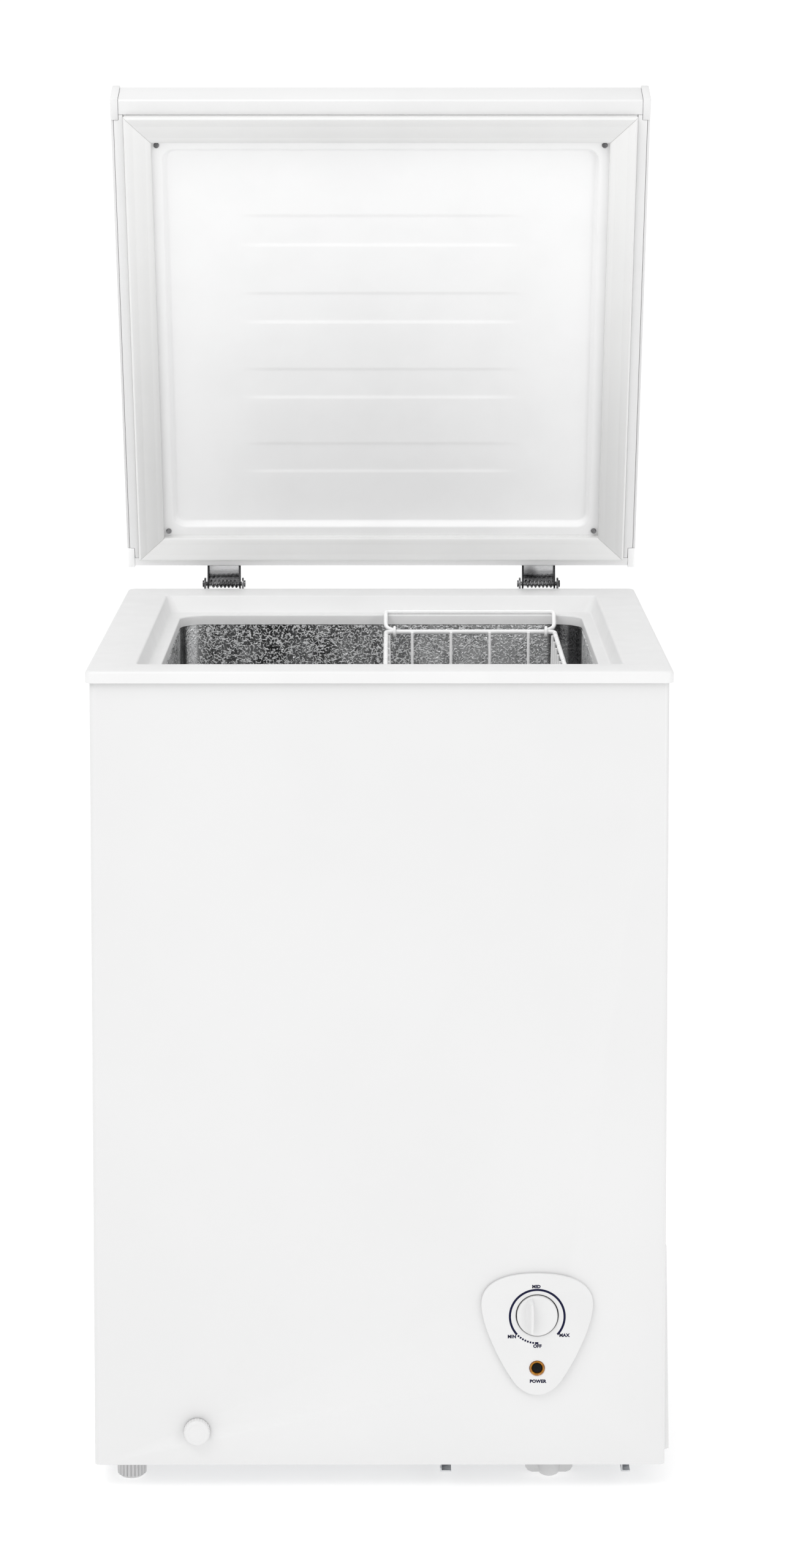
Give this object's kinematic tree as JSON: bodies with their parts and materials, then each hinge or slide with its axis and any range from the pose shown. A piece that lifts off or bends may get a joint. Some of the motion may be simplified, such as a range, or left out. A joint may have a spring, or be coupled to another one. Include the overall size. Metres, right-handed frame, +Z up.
{
  "type": "chest freezer",
  "caption": "Compact chest freezer with a hinged lid, a hanging wire basket, a thermostat dial and a defrost drain, for storing frozen food.",
  "frame": {"origin": "on the floor under the middle of the freezer's overall box with the lid open as built", "axes": "+Z up, the front with the controls faces -Y, +X to the right as seen from the front"},
  "size_m": [0.5784, 0.6322, 1.3891],
  "materials": {
    "painted_steel": "gloss white enamel on sheet steel",
    "galvanised_steel": "galvanised sheet",
    "embossed_aluminium": "bright stucco-embossed sheet",
    "aluminium_tube": "drawn tube",
    "white_plastic": "glossy moulding",
    "gasket_white": "soft magnetic seal",
    "foam": "rigid insulation foam",
    "plated_steel": "bright zinc plate",
    "copper": "drawn tube",
    "black_steel": "satin black enamel",
    "black_rubber": "moulded",
    "black_plastic": "moulded",
    "amber_lens": "clear amber moulding",
    "coated_wire": "white coated wire"
  },
  "bodies": {
    "cabinet": {"outer_shell": "painted_steel", "back_panel": "painted_steel", "floor_pan": "galvanised_steel", "compressor_base_plate": "galvanised_steel", "inner_liner": "embossed_aluminium", "evaporator_coil": "aluminium_tube", "top_collar": "white_plastic", "side_grille": "white_plastic", "control_panel": "white_plastic", "drain_tube": "white_plastic", "rear_left_foot": "white_plastic", "front_right_foot": "white_plastic", "rear_right_foot": "white_plastic", "insulation_foam": "foam", "grille_screw": "plated_steel", "hinge_base_left": "plated_steel", "hinge_base_right": "plated_steel", "hinge_pin_left": "plated_steel", "hinge_pin_right": "plated_steel", "hinge_spring_left": "plated_steel", "hinge_spring_right": "plated_steel", "hinge_screw_left_lower": "plated_steel", "hinge_screw_left_upper": "plated_steel", "hinge_screw_right_lower": "plated_steel", "hinge_screw_right_upper": "plated_steel", "condenser_coil": "copper", "filter_drier": "copper", "compressor": "black_steel", "compressor_grommet_1": "black_rubber", "compressor_grommet_2": "black_rubber", "compressor_grommet_3": "black_rubber", "compressor_grommet_4": "black_rubber", "compressor_terminal_cover": "black_plastic", "thermostat_body": "black_plastic", "lamp_holder": "black_plastic", "cord_gland": "black_plastic", "indicator_lens": "amber_lens"},
    "lid": {"lid_outer_skin": "painted_steel", "lid_side_trim_left": "white_plastic", "lid_side_trim_right": "white_plastic", "lid_cap_front_left": "white_plastic", "lid_cap_front_right": "white_plastic", "lid_front_trim": "white_plastic", "lid_rear_trim": "white_plastic", "lid_inner_liner": "white_plastic", "lid_gasket": "gasket_white", "lid_foam": "foam", "hinge_leaf_left": "plated_steel", "hinge_leaf_right": "plated_steel", "lid_screw_front_left": "plated_steel", "lid_screw_front_right": "plated_steel", "lid_screw_back_left": "plated_steel", "lid_screw_back_right": "plated_steel"},
    "basket": {"basket_wire": "coated_wire"},
    "handle_front": {"basket_handle_front": "coated_wire"},
    "handle_back": {"basket_handle_back": "coated_wire"},
    "knob": {"control_knob": "white_plastic"},
    "drain_cap": {"drain_cap": "white_plastic"},
    "drain_plug": {"drain_plug": "white_plastic"},
    "levelling_foot": {"front_left_foot": "white_plastic"}
  },
  "joints": [
    {"name": "lid_hinge", "type": "hinge", "parent": "cabinet", "child": "lid", "pos_m": [0, 0.27831, 0.822], "axis": [-1, 0, 0], "range_deg": [-68.7, 12]},
    {"name": "basket_lift", "type": "slide", "parent": "cabinet", "child": "basket", "axis": [0, 0, 1], "range_m": [0, 0.22]},
    {"name": "handle_front_swing", "type": "hinge", "parent": "basket", "child": "handle_front", "pos_m": [0.0985, -0.20419, 0.788], "axis": [-1, 0, 0], "range_deg": [0, 125]},
    {"name": "handle_back_swing", "type": "hinge", "parent": "basket", "child": "handle_back", "pos_m": [0.0985, 0.14331, 0.788], "axis": [1, 0, 0], "range_deg": [0, 125]},
    {"name": "knob_turn", "type": "hinge", "parent": "cabinet", "child": "knob", "pos_m": [0.1555, -0.31, 0.1772], "axis": [0, 1, 0], "range_deg": [-180, 130]},
    {"name": "drain_cap_pull", "type": "slide", "parent": "cabinet", "child": "drain_cap", "axis": [0, -1, 0], "range_m": [0, 0.03]},
    {"name": "drain_plug_lift", "type": "slide", "parent": "cabinet", "child": "drain_plug", "axis": [0, 0, 1], "range_m": [0, 0.05]},
    {"name": "foot_turn", "type": "hinge", "parent": "cabinet", "child": "levelling_foot", "pos_m": [-0.2485, -0.26369, 0], "axis": [0, 0, 1], "range_deg": [-180, 180]}
  ]
}
